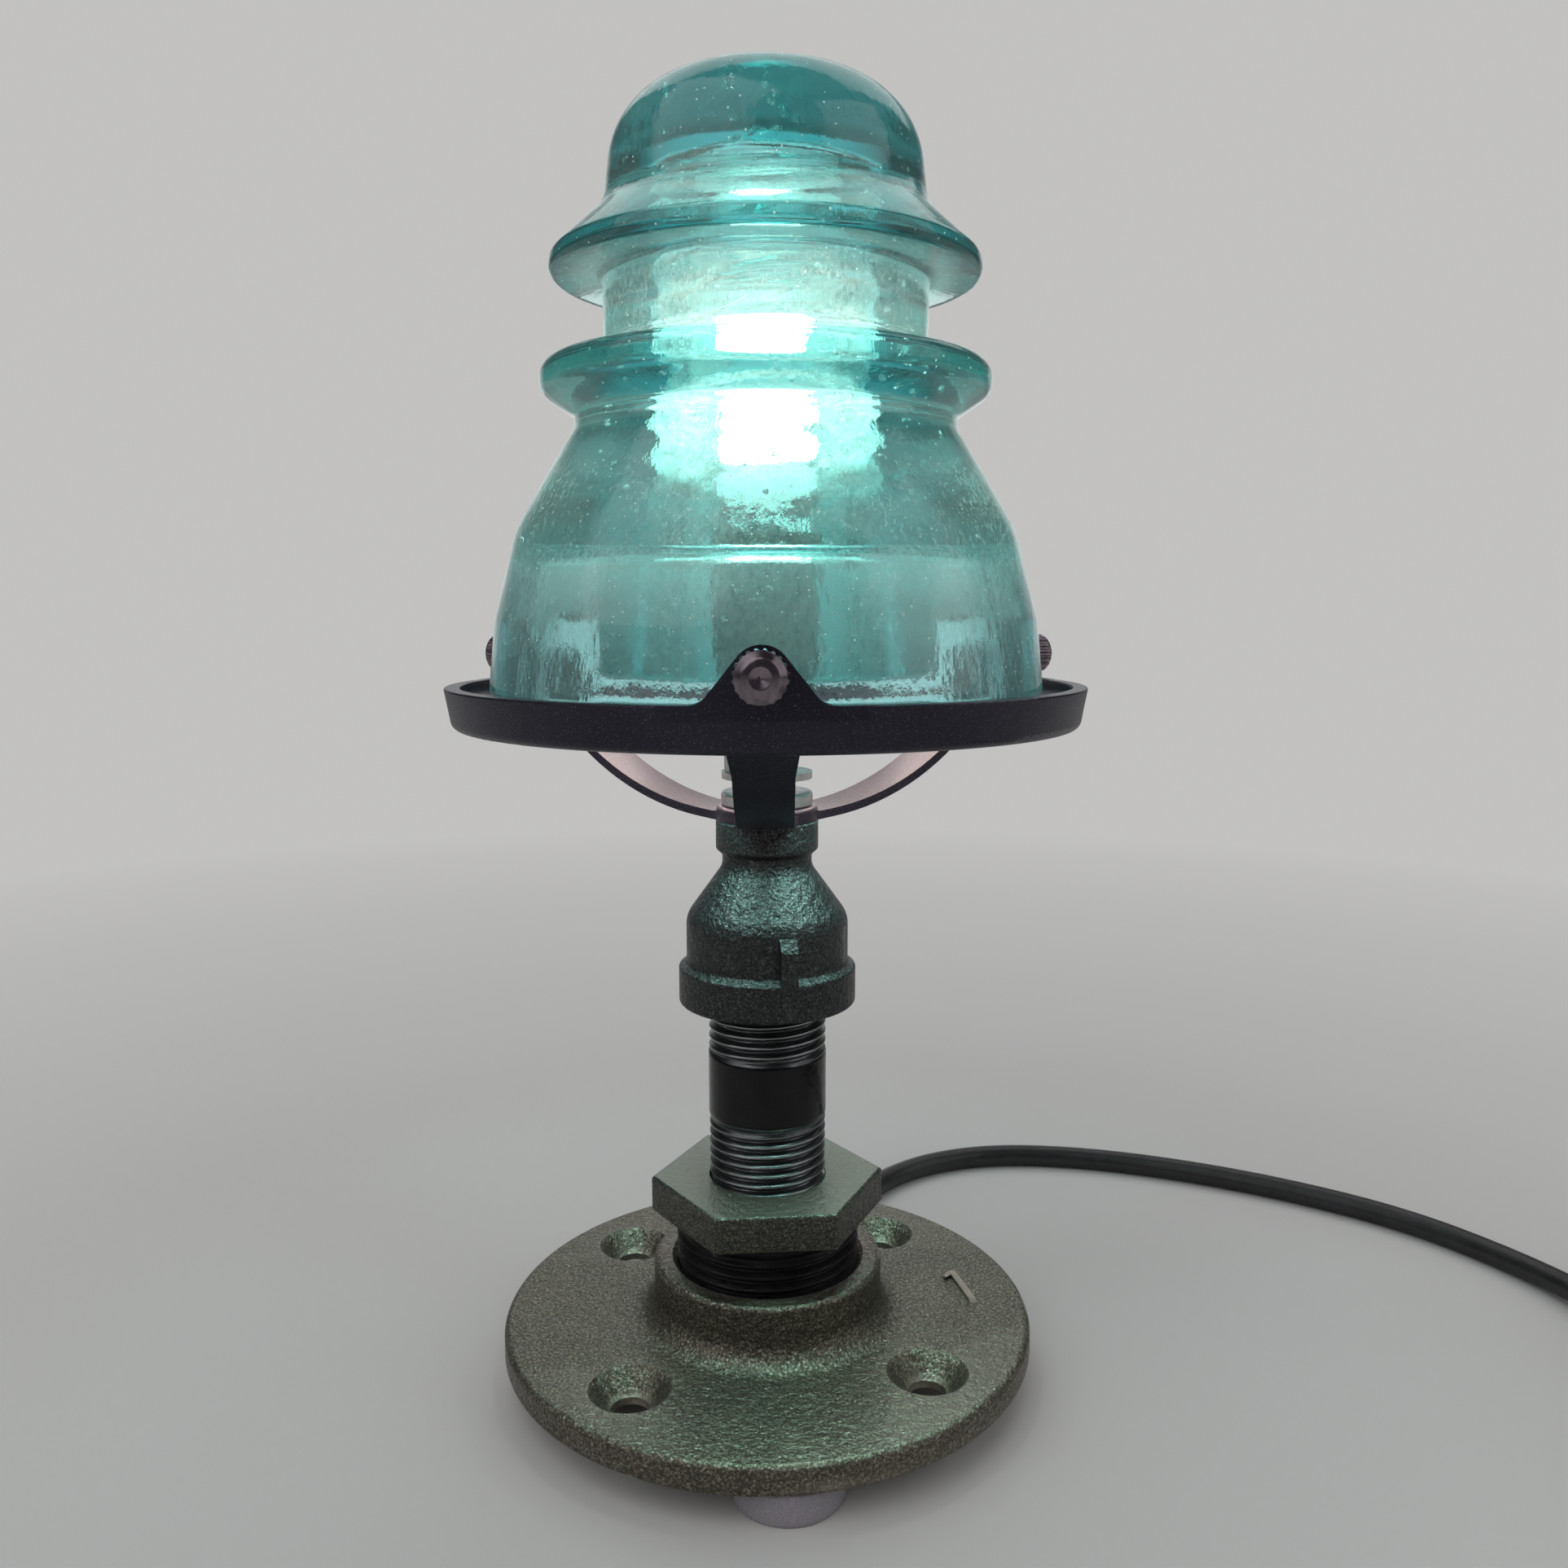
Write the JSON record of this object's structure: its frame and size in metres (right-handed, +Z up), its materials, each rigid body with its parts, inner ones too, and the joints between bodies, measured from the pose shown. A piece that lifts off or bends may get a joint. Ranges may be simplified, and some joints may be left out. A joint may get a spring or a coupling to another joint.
{
  "type": "insulator lamp",
  "caption": "Table lamp with an aqua glass line insulator as its shade, on a ring and arms over a stem of black pipe fittings and a round flange with felt feet.",
  "frame": {"origin": "on the lamp's axis, in the plane of the felt feet's undersides, which is the table top", "axes": "+Z up along the stem, -Y the front with one thumb screw, +X the side where the coiled cord lies"},
  "size_m": [0.3756, 0.1811, 0.2239],
  "materials": {
    "felt": "dense grey felt",
    "black_iron": "black malleable iron with a cast grain",
    "pipe_steel": "black pipe with bright cut threads",
    "ring_black": "satin black enamel",
    "nickel": "nickel plated, knurled",
    "zinc": "bright zinc plate",
    "brass": "plain brass",
    "phenolic": "dark moulded phenolic",
    "aqua_glass": "aqua pressed glass with seeds",
    "bulb_metal": "nickel plated screw cap",
    "bulb_collar": "white plastic",
    "bulb_cover": "frosted cover, lit",
    "cord_black": "round black flexible cord",
    "lead": "insulated wire",
    "black_plastic": "black moulded plastic"
  },
  "bodies": {
    "stand": {"felt_feet": "felt", "floor_flange": "black_iron", "hex_bushing": "black_iron", "pipe_nipple": "pipe_steel", "bell_reducer": "black_iron", "lamp_tube": "zinc", "lock_nut": "zinc", "shade_fitter": "ring_black", "socket_bracket": "zinc", "bracket_screw": "zinc", "socket_body": "phenolic", "terminal_screws": "brass", "screw_shell": "brass", "centre_contact": "brass", "cord_grommet": "black_plastic", "cord_riser": "cord_black", "socket_leads": "lead", "cord_run": "cord_black", "cord_coil": "cord_black", "coil_tie": "black_plastic", "cord_tail": "cord_black", "switch_base": "black_plastic", "switch_cover": "black_plastic", "switch_screws": "zinc", "cord_end": "cord_black", "plug_body": "black_plastic", "plug_blades": "brass"},
    "glass": {"glass_insulator": "aqua_glass"},
    "bulb": {"bulb_cap": "bulb_metal", "bulb_tip": "bulb_metal", "bulb_collar": "bulb_collar", "bulb_cover": "bulb_cover"},
    "thumb_screw_front": {"thumb_screw_front": "nickel"},
    "thumb_screw_left": {"thumb_screw_left": "nickel"},
    "thumb_screw_right": {"thumb_screw_right": "nickel"},
    "rocker": {"switch_rocker": "black_plastic"}
  },
  "joints": [
    {"name": "glass_lift", "type": "slide", "parent": "stand", "child": "glass", "axis": [0, 0, 1], "range_m": [0, 0.075]},
    {"name": "bulb_unscrew", "type": "slide", "parent": "stand", "child": "bulb", "axis": [0, 0, 1], "range_m": [0, 0.014]},
    {"name": "thumb_screw_front_travel", "type": "slide", "parent": "stand", "child": "thumb_screw_front", "axis": [0, -1, 0], "range_m": [0, 0.0045]},
    {"name": "thumb_screw_left_travel", "type": "slide", "parent": "stand", "child": "thumb_screw_left", "axis": [-0.866, 0.5, 0], "range_m": [0, 0.0045]},
    {"name": "thumb_screw_right_travel", "type": "slide", "parent": "stand", "child": "thumb_screw_right", "axis": [0.866, 0.5, 0], "range_m": [0, 0.0045]},
    {"name": "rocker_tilt", "type": "hinge", "parent": "stand", "child": "rocker", "pos_m": [0.23739, -0.08259, 0.0104], "axis": [0, 1, 0], "range_deg": [-16, 0]}
  ]
}
